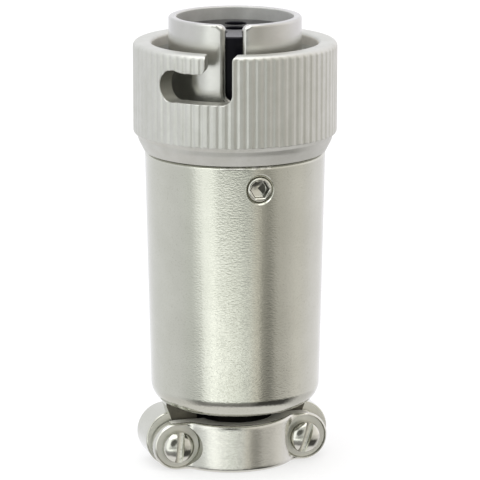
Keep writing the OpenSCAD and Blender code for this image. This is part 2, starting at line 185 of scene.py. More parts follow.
# Set screw; the hexagon's steps are a share of its size and a height, from its floor and from the screw's end
SET_Z = BODY_Z1 - 2.8
SET_R = 1.5
SET_ROOT = SET_R - 0.28
SET_PITCH = 0.5
SET_COLUMNS = 64
SET_TIP = -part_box("set_screw")[1].y / MM
SET_END = -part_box("set_screw")[0].y / MM
SET_THREAD_L = SET_END - SET_TIP - 0.3
SET_EDGE_R = 0.28
SET_EDGE_TURN = 120
SET_HEX_R = 0.92 / math.cos(math.radians(30))
SET_HEX_Z0 = SET_END - 0.7
HEX_FLOOR = ((0.96, 0), (1, 0.03))
HEX_MOUTH = ((1, -0.25), (1.04, -0.13), (1.12, -0.06), (1.6, 0.3))
SET_POINT_R = SET_HEX_R * 0.8
SET_POINT_L = 0.45
SET_POINT_REACH = 0.1

# Hole of the set screw; its mouth's points are outwards and up from the edge
SET_MOUTH_R = 1.85
SET_SURFACE = SET_END + 0.1
SET_MOUTH = ((-0.04, -0.05), (0.1, 0.05), (0.6, 0.2))

# Cable clamp; the shares of a bar's half height say where the loops of its flat faces lie
CLAMP_PITCH = 16.1
BAR_SHARES = (0, 0.3, 0.55, 0.75)
SADDLE_H = 7.0
SADDLE_FACE = 1.0
SADDLE_BACK = SADDLE_FACE - 5.0
SADDLE_FRONT_R = 0.2
SADDLE_BACK_R = 0.5
STRAP_H = high("clamp_strap")
STRAP_FRONT_R = 0.5
STRAP_BACK_R = 0.2
STRAP_BLEND = 0.3
EAR_BACK = 1.3
EAR_FACE = 3.0
CROWN_FACE = 6.3
CROWN_R = 8.0
CROWN_FILLET_R = 1.3
SPOT_R = 2.75
SPOT_FACE = 2.6

# Threads: rows of points in a pitch, and a tip that starts at a share of the crest and widens
THREAD_ROWS = 8
THREAD_FLAT = 0.5
TIP_L = 0.12
TIP_INSET = 0.1
TIP_START = 0.75
TIP_SLOPE = 0.5

# Clamp screws; the lip's points are outwards and up from the driver slot's edge, which keeps a least height
SCREW_Z = STRAP_H / 2
SCREW_R = 1.1
SCREW_L = 6.2
SCREW_TIP = SPOT_FACE + SEAT_GAP - SCREW_L
SCREW_PITCH = 0.45
SCREW_ROOT = 0.83
SCREW_COLUMNS = 48
SADDLE_HOLE_R = SCREW_R + 0.06
STRAP_HOLE_R = SCREW_R + FIT_GAP
STRAP_HOLE_START = 0.5
HEAD_START = SCREW_TIP + SCREW_L
HEAD_R = 1.95
HEAD_H = 1.5
HEAD_EDGE = 0.6
DOME_POWERS = (2.4, 0.6)
DRIVER_W = 0.9
DRIVER_DEPTH = 0.8
DRIVER_LIP = ((0.4, 0.4), (0.05, 0.02), (0.015, -0.04), (0, -0.1))
DRIVER_FLOOR_R = 0.08
DRIVER_EDGE_LEAST = HEAD_H - DRIVER_DEPTH + 0.15
DRIVER_REACH = 1.15 * HEAD_R
DRIVER_ROWS = 24
DRIVER_LEANS = {"clamp_screw_left": 5, "clamp_screw_right": 18}


# Outlines

def spread(start, stop, steps):
    """Angles from start to stop, in degrees, as radians."""
    return [math.radians(start + (stop - start) * i / steps) for i in range(steps + 1)]


def circle(steps):
    """Angles of one full turn, as radians."""
    return [math.tau * j / steps for j in range(steps)]


def arc(centre, radius, start, stop, steps=8):
    """Points of an arc, with its angles in degrees."""
    x, y = centre
    return [(x + radius * math.cos(t), y + radius * math.sin(t)) for t in spread(start, stop, steps)]


def rounded(corners, steps=6):
    """Closed outline through (across, up, rounding) corners; a rounding is an arc that touches both sides."""
    places = [complex(x, y) for x, y, _ in corners]
    outline = []
    for i, (x, y, rounding) in enumerate(corners):
        if not rounding:
            outline.append((x, y))
            continue
        back = places[i - 1] - places[i]
        ahead = places[(i + 1) % len(places)] - places[i]
        back /= abs(back)
        ahead /= abs(ahead)
        half = abs(cmath.phase(ahead / back)) / 2
        middle = (back + ahead) / abs(back + ahead)
        centre = places[i] + middle * rounding / math.sin(half)
        start = places[i] + back * rounding / math.tan(half) - centre
        stop = places[i] + ahead * rounding / math.tan(half) - centre
        sweep = cmath.phase(stop / start)
        for k in range(steps + 1):
            point = centre + start * cmath.exp(1j * sweep * k / steps)
            outline.append((point.real, point.imag))
    return outline


def smooth_min(a, b, blend_width):
    """The smaller of two values, rounded off where they are close."""
    share = min(max(0.5 + 0.5 * (b - a) / blend_width, 0), 1)
    return b + (a - b) * share - blend_width * share * (1 - share)


def smooth_max(a, b, blend_width):
    """The larger of two values, rounded off where they are close."""
    return -smooth_min(-a, -b, blend_width)


# Meshes

def make_object(name, points, faces):
    """New object, welded where its points meet, with its faces turned outwards."""
    mesh = bpy.data.meshes.new(name)
    mesh.from_pydata(points, [], faces)
    shape = bmesh.new()
    shape.from_mesh(mesh)
    bmesh.ops.remove_doubles(shape, verts=shape.verts, dist=WELD)
    bmesh.ops.recalc_face_normals(shape, faces=shape.faces)
    shape.to_mesh(mesh)
    shape.free()
    made = bpy.data.objects.new(name, mesh)
    bpy.context.scene.collection.objects.link(made)
    return made


def skin(name, rows, join_ends=False, cap_ends=False):
    """Closed object over rows of points, where each row is a loop with the same number of points."""
    count = len(rows[0])
    faces = []
    for i in range(len(rows) if join_ends else len(rows) - 1):
        here = i * count
        there = (i + 1) % len(rows) * count
        for j in range(count):
            k = (j + 1) % count
            faces.append((here + j, here + k, there + k, there + j))
    points = [point for row in rows for point in row]
    if cap_ends:
        faces.append(tuple(range(count)))
        faces.append(tuple(range(len(points) - count, len(points))))
    return make_object(name, points, faces)


def block(name, start, stop):
    """Plain block between two opposite corners."""
    x_ends, y_ends, z_ends = zip(start, stop)
    points = [(x, y, z) for z in z_ends for y in y_ends for x in x_ends]
    sides = [(0, 1, 3, 2), (4, 5, 7, 6), (0, 1, 5, 4), (2, 3, 7, 6), (0, 2, 6, 4), (1, 3, 7, 5)]
    return make_object(name, points, sides)


def upright(x=0.0, y=0.0):
    """Places a turned point on an axis along Z."""
    return lambda r, turn, along: (x + r * math.sin(turn), y - r * math.cos(turn), along)


def facing(x, z):
    """Places a turned point on an axis towards the front; along is counted from the plug's axis."""
    return lambda r, turn, along: (x + r * math.cos(turn), -along, z + r * math.sin(turn))


def turned_rows(profile, steps, place):
    """Loops of points round an axis, one for each (radius, along) point of a profile."""
    return [[place(r, t, along) for t in circle(steps)] for r, along in profile]


def lathe(name, profile, steps=192, place=upright()):
    """Turned object from (radius, along) points; a profile that starts on the axis also ends there."""
    return skin(name, turned_rows(profile, steps, place), join_ends=profile[0][0] > 0)


def combine(target, tool, operation):
    """Joins or cuts the target with a tool, which is then removed."""
    step = target.modifiers.new("combine", "BOOLEAN")
    step.operation = operation
    step.solver = "MANIFOLD"
    step.object = tool
    graph = bpy.context.evaluated_depsgraph_get()
    result = bpy.data.meshes.new_from_object(target.evaluated_get(graph))
    target.modifiers.clear()
    used = (target.data, tool.data)
    target.data = result
    bpy.data.objects.remove(tool)
    for mesh in used:
        bpy.data.meshes.remove(mesh)
    return target


def carve(target, tool):
    """Cuts a tool out of the target."""
    return combine(target, tool, "DIFFERENCE")


def merge(target, tool):
    """Joins a tool to the target."""
    return combine(target, tool, "UNION")


def drill(target, radius, start, stop, place):
    """Cuts a plain round hole between two places along an axis."""
    hole = [(0, start), (radius, start), (radius, stop), (0, stop)]
    carve(target, lathe("drill_tool", hole, SCREW_COLUMNS, place))


def flared_cutter(name, outline, levels, azimuth):
    """Tool for a slot in a round wall.

    The outline's points are (turn, across, z), and each level is (radius, flare): the flare opens the
    outline, so that the slot's edges come out rounded.
    """
    flat = [complex(math.radians(turn) * RING_R + across, z) for turn, across, z in outline]
    rows = []
    for radius, flare in levels:
        row = []
        for i, (turn, across, z) in enumerate(outline):
            run = flat[(i + 1) % len(flat)] - flat[i - 1]
            shift = -1j * run / abs(run) * flare
            x = across + shift.real
            y = -math.sqrt(radius ** 2 - x ** 2)
            t = math.radians(azimuth + turn)
            row.append((x * math.cos(t) - y * math.sin(t), x * math.sin(t) + y * math.cos(t), z + shift.imag))
        rows.append(row)
    return skin(name, rows, cap_ends=True)


def edge_levels(inner_r, outer_r, inner_round, outer_round, steps=6):
    """Levels of a slot's tool through a round wall that round the slot's edges, inside and outside."""
    levels = [(inner_r - OVERCUT, inner_round)]
    for t in spread(90, 0, steps):
        levels.append((inner_r + inner_round * (1 - math.sin(t)), inner_round * (1 - math.cos(t))))
    for t in spread(0, 90, steps):
        levels.append((outer_r - outer_round * (1 - math.sin(t)), outer_round * (1 - math.cos(t))))
    return levels + [(outer_r + SLOT_TOOL_REACH, outer_round)]


def bar_loop(pitch, radius, depth, mid_z, runs=96, turns=24):
    """Loop round a flat bar with round ends; depth gives the distance in front of the axis at an x."""
    half = pitch / 2
    loop = [(half + radius * math.cos(t), radius * math.sin(t)) for t in spread(-90, 90, turns)]
    loop += [(half - pitch * i / runs, radius) for i in range(1, runs)]
    loop += [(-half + radius * math.cos(t), radius * math.sin(t)) for t in spread(90, 270, turns)]
    loop += [(-half + pitch * i / runs, -radius) for i in range(1, runs)]
    return [(x, -depth(x), mid_z + z) for x, z in loop]


def bar(name, pitch, height, front, back, front_r, back_r):
    """Flat bar with round ends and rounded edges; front and back are depths that depend on x."""
    radius = height / 2
    inner = [radius * share for share in BAR_SHARES]
    rows = [bar_loop(pitch, r, front, radius) for r in inner]
    for t in spread(0, 90, 8):
        inset = front_r * (1 - math.sin(t))
        fall = front_r * (1 - math.cos(t))
        rows.append(bar_loop(pitch, radius - inset, lambda x: front(x) - fall, radius))
    for t in spread(90, 0, 6):
        inset = back_r * (1 - math.sin(t))
        fall = back_r * (1 - math.cos(t))
        rows.append(bar_loop(pitch, radius - inset, lambda x: back(x) + fall, radius))
    rows += [bar_loop(pitch, r, back, radius) for r in reversed(inner)]
    return skin(name, rows)


# Coupling ring

def flute_floor(column):
    """Radius of the flutes' floor at a column of the ring's mesh, or a large radius beside a flute."""
    half = FLUTE_COLUMNS / 2
    share = ((column + half) % FLUTE_COLUMNS - half) / FLUTE_COLUMNS
    off = share * math.tau / FLUTES
    centre = RING_R + FLUTE_R - FLUTE_DEPTH
    side = centre * math.sin(off)
    if abs(side) >= FLUTE_R:
        return 2 * RING_R
    return centre * math.cos(off) - math.sqrt(FLUTE_R ** 2 - side ** 2)


def slot_outline():
    """J-shaped outline: entry, tooth, leg and locking pocket."""
    half = SLOT_ENTRY_W / 2
    r = SLOT_CORNER_R
    m = SLOT_MOUTH_R
    t = SLOT_TOOTH_R
    entry = arc((half - SLOT_FLOOR_R, SLOT_Z0 + SLOT_FLOOR_R), SLOT_FLOOR_R, -90, 0)
    entry += arc((half + m, RING_Z1 - m), m, 180, 90)
    entry += [(half + m, RING_Z1 + OVERCUT), (-half - t, RING_Z1 + OVERCUT)]
    entry += arc((-half - t, RING_Z1 - t), t, 90, 0)
    entry += arc((-half - r, SLOT_LEG_Z1 + r), r, 0, -90)
    pocket_z = POCKET_TOP - POCKET_R
    floor_turn = math.degrees(math.acos((pocket_z - SLOT_Z0) / POCKET_R))
    pocket = [(POCKET_SLOPE, SLOT_LEG_Z1), (POCKET_SLOPE_END, POCKET_TOP)]
    pocket += arc((0, pocket_z), POCKET_R, POCKET_START, 270 + floor_turn, 20)
    outline = [(0, x, z) for x, z in entry]
    outline += [(-SLOT_TURN * share, 0, SLOT_LEG_Z1) for share in LEG_SHARES]
    outline += [(-SLOT_TURN, x, z) for x, z in pocket]
    outline += [(-SLOT_TURN * share, 0, SLOT_Z0) for share in FLOOR_SHARES]
    return outline


def make_coupling_ring():
    """Turned ring with straight flutes that run out at both ends, and its J-shaped slots."""
    belt_z = RING_Z0 + TAIL_L - TAIL_CHAMFER
    web_z = RING_Z0 + RING_WEB_T
    profile = rounded([
        (RING_WEB_R, RING_Z0, BROKEN_R),
        (RING_R - TAIL_DROP, RING_Z0, RING_CORNER_R),
        (RING_R - TAIL_CHAMFER - TAIL_LEAN, belt_z - TAIL_BELT_L, TAIL_CONE_R),
        (RING_R - TAIL_CHAMFER, belt_z, TAIL_BELT_R),
        (RING_R, RING_Z0 + TAIL_L, TAIL_STEP_R),
        (RING_R, RING_Z1, RING_EDGE_R),
        (RING_BORE_R, RING_Z1, RING_MOUTH_R),
        (RING_BORE_R, RING_MOUTH_Z, 0),
        (RING_BORE_R, web_z, RING_CORNER_R),
        (RING_WEB_R, web_z, BROKEN_R),
    ])
    place = upright()
    columns = [(t, flute_floor(j)) for j, t in enumerate(circle(FLUTES * FLUTE_COLUMNS))]
    rows = [[place(smooth_min(r, floor, FLUTE_BLEND), t, z) for t, floor in columns] for r, z in profile]
    ring = skin("fluted_ring", rows, join_ends=True)
    levels = edge_levels(RING_BORE_R, RING_R, SLOT_EDGE_IN, SLOT_EDGE_OUT)
    for azimuth in SLOT_AZIMUTHS:
        carve(ring, flared_cutter("slot_tool", slot_outline(), levels, azimuth))
    return ring


# Plug shell, insert and contacts

def key_outline():
    """Outline of the key slot: a round end and a mouth with round corners."""
    half = KEY_W / 2
    r = KEY_CORNER_R
    key = arc((0, RIM_Z - KEY_L + half), half, 180, 360, 16)
    key += arc((half + r, RIM_Z - r), r, 180, 90)
    key += [(half + r, RIM_Z + OVERCUT), (-half - r, RIM_Z + OVERCUT)]
    key += arc((-half - r, RIM_Z - r), r, 90, 0)
    return [(0, x, z) for x, z in key]


def make_plug_shell():
    """Turned shell: rear thread, flange and the bright keyed sleeve."""
    seat_z = BODY_Z1 + SEAT_GAP
    groove_z0 = low("retaining_ring") - GROOVE_GAP
    groove_z1 = high("retaining_ring") + GROOVE_GAP
    profile = rounded([
        (INSERT_R, SHELL_Z0, BROKEN_R),
        (THREAD_R, SHELL_Z0, SHELL_END_R),
        (THREAD_R, seat_z, 0),
        (JOURNAL_R, seat_z, JOURNAL_EDGE_R),
        (JOURNAL_R, FLANGE_Z0, 0),
        (FLANGE_R, FLANGE_Z0, FLANGE_BACK_R),
        (FLANGE_R, FLANGE_Z1, FLANGE_FRONT_R),
        (SLEEVE_R, FLANGE_Z1, SLEEVE_FOOT_R),
        (SLEEVE_R, RIM_Z, RIM_R),
        (SLEEVE_BORE_R, RIM_Z, RIM_BORE_R),
        (SLEEVE_BORE_R, SHOULDER_Z, 0),
        (INSERT_R, SHOULDER_Z, 0),
        (INSERT_R, groove_z1, 0),
        (GROOVE_R, groove_z1, 0),
        (GROOVE_R, groove_z0, 0),
        (INSERT_R, groove_z0, 0),
    ])
    shell = lathe("keyed_shell", profile, 256)
    levels = edge_levels(SLEEVE_BORE_R, SLEEVE_R, KEY_EDGE_IN, KEY_EDGE_OUT)
    return carve(shell, flared_cutter("key_tool", key_outline(), levels, KEY_AZIMUTH))


def contact_places():
    """Centre contact first, then those on the circle, the first of them opposite the key."""
    places = [(0.0, 0.0)]
    for i in range(CIRCLE_CONTACTS):
        turn = math.radians(KEY_AZIMUTH + 180 + i * 360 / CIRCLE_CONTACTS)
        places.append((CONTACT_CIRCLE_R * math.sin(turn), -CONTACT_CIRCLE_R * math.cos(turn)))
    return places


def make_front_insert():
    """Moulded insert with a rounded face edge and six openings with softened mouths."""
    insert = lathe("moulded_insert", rounded([
        (0, SPLIT_Z, 0),
        (INSERT_R - FIT_GAP, SPLIT_Z, BROKEN_R),
        (INSERT_R - FIT_GAP, STEP_Z, BROKEN_R),
        (SLEEVE_BORE_R - FIT_GAP, STEP_Z, 0),
        (SLEEVE_BORE_R - FIT_GAP, FACE_Z, FACE_EDGE_R),
        (0, FACE_Z, 0),
    ]))
    hole = [
        (0, SPLIT_Z - OVERCUT),
        (COLLAR_R, SPLIT_Z - OVERCUT),
        (COLLAR_R, SPLIT_Z + COLLAR_HALF),
        (OPENING_R, SPLIT_Z + COLLAR_HALF),
    ]
    hole += [(OPENING_R + out, FACE_Z + up) for out, up in OPENING_MOUTH]
    hole += [(0, hole[-1][1])]
    for x, y in contact_places():
        carve(insert, lathe("opening_tool", hole, 48, upright(x, y)))
    return insert


# Back shell

def make_barrel():
    """Solid barrel with draft, a round lip at its rear and a broken front edge."""
    return lathe("cast_back_shell", rounded([
        (0, BODY_Z0, 0),
        (BODY_REAR_R, BODY_Z0, BODY_LIP_R),
        (BODY_FRONT_R, BODY_Z1 - BODY_CHAMFER, BODY_EDGE_R),
        (BODY_FRONT_R - BODY_CHAMFER, BODY_Z1, BROKEN_R),
        (0, BODY_Z1, 0),
    ], 14), 256)


def make_neck():
    """Rear half of the funnel-shaped neck between the barrel and the saddle."""
    neck = lathe("neck", rounded([
        (0, NECK_SUNK, 0),
        (THROAT_R + NECK_WALL, NECK_SUNK, NECK_END_R),
        (THROAT_R + NECK_WALL, THROAT_L, NECK_BEND_R),
        (CAVITY_R + NECK_FLARE, (THROAT_L + BODY_Z0) / 2, NECK_FLARE_R),
        (CAVITY_R + NECK_WALL, BODY_Z0, NECK_BEND_R),
        (CAVITY_R + NECK_WALL, NECK_TOP, 0),
        (0, NECK_TOP, 0),
    ]))
    wide = 2 * RING_R
    return carve(neck, block("front_half", (-wide, -wide, -wide), (wide, -NECK_SUNK - SADDLE_FACE, wide)))


def set_screw_tool():
    """Tool for the set screw's hole, with a countersunk mouth and a softened edge."""
    hole = [(0, 0), (SET_R + FIT_GAP, 0), (SET_R + FIT_GAP, SET_SURFACE - (SET_MOUTH_R - SET_R))]
    hole += [(SET_MOUTH_R + out, SET_SURFACE + up) for out, up in SET_MOUTH]
    hole += [(0, hole[-1][1])]
    return lathe("set_tool", hole, SET_COLUMNS, facing(0, SET_Z))


def make_back_shell():
    """Cast barrel with its half neck and fixed saddle, bored out and drilled."""
    shell = merge(make_barrel(), make_neck())
    merge(shell, bar("saddle", CLAMP_PITCH, SADDLE_H, lambda x: SADDLE_FACE, lambda x: SADDLE_BACK,
                     SADDLE_FRONT_R, SADDLE_BACK_R))
    inside = [
        (0, -OVERCUT),
        (THROAT_R, -OVERCUT),
        (THROAT_R, THROAT_L),
        (THROAT_R + FUNNEL_SHARE * NECK_WALL, BODY_Z0 - FUNNEL_DROP),
        (CAVITY_R, BODY_Z0 + NECK_WALL),
        (CAVITY_R, CAVITY_Z1),
        (THREAD_R + FIT_GAP, CAVITY_Z1),
        (THREAD_R + FIT_GAP, BODY_Z1 + OVERCUT),
        (0, BODY_Z1 + OVERCUT),
    ]
    carve(shell, lathe("inside_tool", inside))
    for side in (-1, 1):
        place = facing(side * CLAMP_PITCH / 2, SCREW_Z)
        drill(shell, SADDLE_HOLE_R, SADDLE_BACK - OVERCUT, SADDLE_FACE + OVERCUT, place)
    return carve(shell, set_screw_tool())


# Screws

def threaded(along, turn, length, crest, root, pitch):
    """Radius of a thread at a place along it; the thread runs out at both ends."""
    phase = (along / pitch - turn / math.tau) % 1
    depth = (crest - root) * min(1, max(0, 2 * abs(2 * phase - 1) - THREAD_FLAT))
    fade = min(1, max(0, along / pitch), max(0, (length - along) / pitch))
    return crest - depth * fade


def screw_rows(tip, length, crest, root, pitch, place, steps):
    """Rows of points over a threaded shank, from the middle of its tip."""
    rows = turned_rows([(0, tip), (root - TIP_INSET, tip)], steps, place)
    count = int(length / pitch * THREAD_ROWS)
    for i in range(count + 1):
        along = TIP_L + (length - TIP_L) * i / count
        taper = min(1, (TIP_SLOPE * along + TIP_START * crest) / crest)
        row = []
        for t in circle(steps):
            r = threaded(along, t, length, crest, root, pitch)
            row.append(place(r * taper, t, tip + along))
        rows.append(row)
    return rows


def head_height(r):
    """Height of the head's dome above its underside, at a radius."""
    flat, full = DOME_POWERS
    return HEAD_EDGE + (HEAD_H - HEAD_EDGE) * (1 - (r / HEAD_R) ** flat) ** full


def driver_tool(middle_x, lean):
    """Tool for a driver slot; its sections follow the head's dome, which softens the slot's edges."""
    half = DRIVER_W / 2
    floor = HEAD_START + HEAD_H - DRIVER_DEPTH
    rows = []
    for i in range(-DRIVER_ROWS, DRIVER_ROWS + 1):
        s = DRIVER_REACH * i / DRIVER_ROWS
        top = HEAD_START + max(head_height(min(abs(s), HEAD_R)), DRIVER_EDGE_LEAST)
        section = [(-half - out, top + up) for out, up in DRIVER_LIP]
        section += arc((-half + DRIVER_FLOOR_R, floor + DRIVER_FLOOR_R), DRIVER_FLOOR_R, 180, 270, 3)
        section += [(-across, along) for across, along in reversed(section)]
        row = []
        for across, along in section:
            x = across * math.cos(lean) + s * math.sin(lean)
            z = -across * math.sin(lean) + s * math.cos(lean)
            row.append((middle_x + x, -along, SCREW_Z + z))
        rows.append(row)
    return skin("driver_tool", rows, cap_ends=True)


def make_clamp_screw(node):
    """Pan-head screw with a rolled thread and a driver slot with softened edges."""
    side = -1 if node.endswith("left") else 1
    middle_x = side * CLAMP_PITCH / 2
    place = facing(middle_x, SCREW_Z)
    head = arc((HEAD_R - BROKEN_R, HEAD_START + BROKEN_R), BROKEN_R, -90, 0, 4)
    dome = [HEAD_R * math.cos(t) for t in spread(0, 90, 20)]
    head += [(r, HEAD_START + head_height(r)) for r in dome[:-1]]
    head += [(0, HEAD_START + HEAD_H)]
    rows = screw_rows(SCREW_TIP, SCREW_L, SCREW_R, SCREW_ROOT, SCREW_PITCH, place, SCREW_COLUMNS)
    rows += turned_rows(head, SCREW_COLUMNS, place)
    screw = skin("slotted_" + node, rows)
    return carve(screw, driver_tool(middle_x, math.radians(DRIVER_LEANS[node])))


def make_set_screw():
    """Socket set screw with a rounded end, a hexagon socket and a drill point at its floor."""
    place = facing(0, SET_Z)
    end = arc((SET_R - SET_EDGE_R, SET_END - SET_EDGE_R), SET_EDGE_R, 0, SET_EDGE_TURN, 10)
    end += [(0, end[-1][1])]
    rows = screw_rows(SET_TIP, SET_THREAD_L, SET_R, SET_ROOT, SET_PITCH, place, SET_COLUMNS)
    rows += turned_rows(end, SET_COLUMNS, place)
    screw = skin("hex_set_screw", rows)
    levels = [(share, SET_HEX_Z0 + up) for share, up in HEX_FLOOR]
    levels += [(share, SET_END + up) for share, up in HEX_MOUTH]
    hexagon = spread(0, 300, 5)
    socket = [[place(SET_HEX_R * share, t, along) for t in hexagon] for share, along in levels]
    carve(screw, skin("hex_tool", socket, cap_ends=True))
    point = [(0, SET_HEX_Z0 - SET_POINT_L), (SET_POINT_R, SET_HEX_Z0)]
    point += [(r, SET_HEX_Z0 + SET_POINT_REACH) for r in (SET_POINT_R, 0)]
    return carve(screw, lathe("point_tool", point, SET_COLUMNS, place))


# Cable clamp

def strap_front(x):
    """Front of the strap: flat ears that run up into the crown over round hollows."""
    middle = CROWN_FACE - CROWN_R
    hollow_face = EAR_FACE + CROWN_FILLET_R
    reach = CROWN_R + CROWN_FILLET_R
    hollow_x = math.sqrt(reach ** 2 - (hollow_face - middle) ** 2)
    side = abs(x)
    if side >= hollow_x:
        return EAR_FACE
    if side > hollow_x * CROWN_R / reach:
        return hollow_face - math.sqrt(CROWN_FILLET_R ** 2 - (hollow_x - side) ** 2)
    return middle + math.sqrt(CROWN_R ** 2 - side ** 2)


def strap_back(x):
    """Back of the strap: flat ears, and a hollow that grips the cable."""
    hollow = math.sqrt(max(THROAT_R ** 2 - x ** 2, 0))
    return smooth_max(EAR_BACK, hollow, STRAP_BLEND)


def make_clamp_strap():
    """Loose saddle with a crown, two ears and spot faces under the screw heads."""
    strap = bar("crowned_strap", CLAMP_PITCH, STRAP_H, strap_front, strap_back, STRAP_FRONT_R, STRAP_BACK_R)
    spot = [(0, SPOT_FACE), (SPOT_R - BROKEN_R, SPOT_FACE), (SPOT_R, SPOT_FACE + BROKEN_R)]
    spot += [(SPOT_R, CROWN_FACE + OVERCUT), (0, CROWN_FACE + OVERCUT)]
    for side in (-1, 1):
        place = facing(side * CLAMP_PITCH / 2, SCREW_Z)
        carve(strap, lathe("spot_tool", spot, 72, place))
        drill(strap, STRAP_HOLE_R, STRAP_HOLE_START, CROWN_FACE, place)
    return strap


# Shader nodes

def add(tree, kind, inputs=None, **settings):
    """New shader node; an input given as a socket is linked, and any other value is set."""
    made = tree.nodes.new("ShaderNode" + kind)
    for name, value in settings.items():
        setattr(made, name, value)
    for key, value in (inputs or {}).items():
        if isinstance(value, bpy.types.NodeSocket):
            tree.links.new(value, made.inputs[key])
        else:
            made.inputs[key].default_value = value
    return made


def remap(tree, value, start, stop, first=0.0, last=1.0, **settings):
    """Value taken from the span between start and stop to the one between first and last."""
    spans = {"From Min": start, "From Max": stop, "To Min": first, "To Max": last}
    return add(tree, "MapRange", {"Value": value, **spans}, **settings).outputs[0]


def rise(tree, value, start, stop):
    """Smooth step from 0 to 1 between two values."""
    return remap(tree, value, start, stop, interpolation_type="SMOOTHSTEP")


def blend(tree, factor, first, second, blend_type="MIX"):
    """Colours mixed by a factor."""
    mixed = add(tree, "Mix", {"Factor": factor, 6: first, 7: second}, data_type="RGBA", blend_type=blend_type)
    return mixed.outputs[2]


def in_millimetres(tree):
    """Place on a piece, in millimetres."""
    place = add(tree, "TexCoord").outputs["Object"]
    return add(tree, "VectorMath", {0: place, "Scale": 1 / MM}, operation="SCALE").outputs[0]


def noise(tree, place, scale, detail=2.0):
    """Soft noise between 0 and 1."""
    return add(tree, "TexNoise", {"Vector": place, "Scale": scale, "Detail": detail}).outputs["Fac"]


def new_group(name, inputs, outputs):
    """Empty shader group with named sockets; returns its tree, its input node and its output node."""
    tree = bpy.data.node_groups.new(name, "ShaderNodeTree")
    for label, kind in inputs:
        tree.interface.new_socket(label, in_out="INPUT", socket_type="NodeSocket" + kind)
    for label, kind in outputs:
        tree.interface.new_socket(label, in_out="OUTPUT", socket_type="NodeSocket" + kind)
    return tree, tree.nodes.new("NodeGroupInput"), tree.nodes.new("NodeGroupOutput")


# Finishes; the spans are values of a noise between which it takes effect
CLOUD_SPAN = (0.35, 0.65)
SPECK_SPAN = (0.58, 0.72)
SPECKS_PER_MM = 5.0
FINE_PER_MM = 14.0
PLATING_SPAN = (0.3, 0.7)
RESIN_SPAN = (0.0, 1.0)
RESIN_IOR = 1.2


def make_plating_tone():
    """Group: colour of a surface, with soft clouds of two tones and fine specks."""
    sockets = [("Light", "Color"), ("Dark", "Color"), ("Clouds per mm", "Float"), ("Specks", "Float")]
    tree, given, result = new_group("plating_tone", sockets, [("Color", "Color")])
    place = in_millimetres(tree)
    clouds = remap(tree, noise(tree, place, given.outputs["Clouds per mm"], 3.0), *CLOUD_SPAN)
    tone = blend(tree, clouds, given.outputs["Dark"], given.outputs["Light"])
    dots = remap(tree, noise(tree, place, SPECKS_PER_MM), *SPECK_SPAN)
    amount = add(tree, "Math", {0: dots, 1: given.outputs["Specks"]}, operation="MULTIPLY").outputs[0]
    darker = blend(tree, amount, tone, given.outputs["Dark"], "MULTIPLY")
    tree.links.new(darker, result.inputs["Color"])
    return tree


def make_surface_grain():
    """Group: height and gloss of a worked surface, with waves along the axis and round it."""
    sockets = [("Round per mm", "Float"), ("Along per mm", "Float"), ("Fine share", "Float")]
    tree, given, result = new_group("surface_grain", sockets, [("Height", "Float"), ("Gloss", "Float")])
    place = in_millimetres(tree)
    round_axis = given.outputs["Round per mm"]
    stretch = add(tree, "CombineXYZ", {"X": round_axis, "Y": round_axis, "Z": given.outputs["Along per mm"]})
    streaks = add(tree, "VectorMath", {0: place, 1: stretch.outputs[0]}, operation="MULTIPLY").outputs[0]
    broad = noise(tree, streaks, 1.0)
    fine = noise(tree, place, FINE_PER_MM)
    height = add(tree, "Mix", {"Factor": given.outputs["Fine share"], 2: broad, 3: fine}).outputs[0]
    tree.links.new(height, result.inputs["Height"])
    tree.links.new(broad, result.inputs["Gloss"])
    return tree


plating_tone = make_plating_tone()
surface_grain = make_surface_grain()


def new_material(name):
    """Empty node material; returns it, its tree and its Principled shader."""
    made = bpy.data.materials.new(name)
    made.use_nodes = True
    return made, made.node_tree, made.node_tree.nodes["Principled BSDF"]


def grained(name, light, dark, clouds, specks, gloss, grain, bump, span):
    """Material of two tones with a grain, and its shader.

    Gloss is the lowest and highest roughness, grain is waves round, waves along and the fine share, and
    span is the values of the grain between which the roughness changes.
    """
    made, tree, shader = new_material(name)
    tone = add(tree, "Group", node_tree=plating_tone)
    tones = (("Light", (*light, 1)), ("Dark", (*dark, 1)), ("Clouds per mm", clouds), ("Specks", specks))
    for label, value in tones:
        tone.inputs[label].default_value = value
    surface = add(tree, "Group", node_tree=surface_grain)
    for label, value in zip(("Round per mm", "Along per mm", "Fine share"), grain):
        surface.inputs[label].default_value = value
    rough = remap(tree, surface.outputs["Gloss"], *span, *gloss)
    relief = add(tree, "Bump", {"Height": surface.outputs["Height"], "Strength": 1.0, "Distance": bump * MM})
    tree.links.new(tone.outputs["Color"], shader.inputs["Base Color"])
    tree.links.new(rough, shader.inputs["Roughness"])
    tree.links.new(relief.outputs[0], shader.inputs["Normal"])
    return made, shader


def plated(name, light, dark, clouds, specks, gloss, grain, bump, metal=1.0):
    """Plated or bare metal; dull and rough faces, and copies with painted light or shade, count as less of a
    metal.
    """
    made, shader = grained(name, light, dark, clouds, specks, gloss, grain, bump, PLATING_SPAN)
    shader.inputs["Metallic"].default_value = metal
    return made


def moulded(name, light, dark, clouds, specks, gloss, grain, bump):
    """Smooth dark resin with faint flow marks."""
    made, shader = grained(name, light, dark, clouds, specks, gloss, grain, bump, RESIN_SPAN)
    shader.inputs["IOR"].default_value = RESIN_IOR
    return made


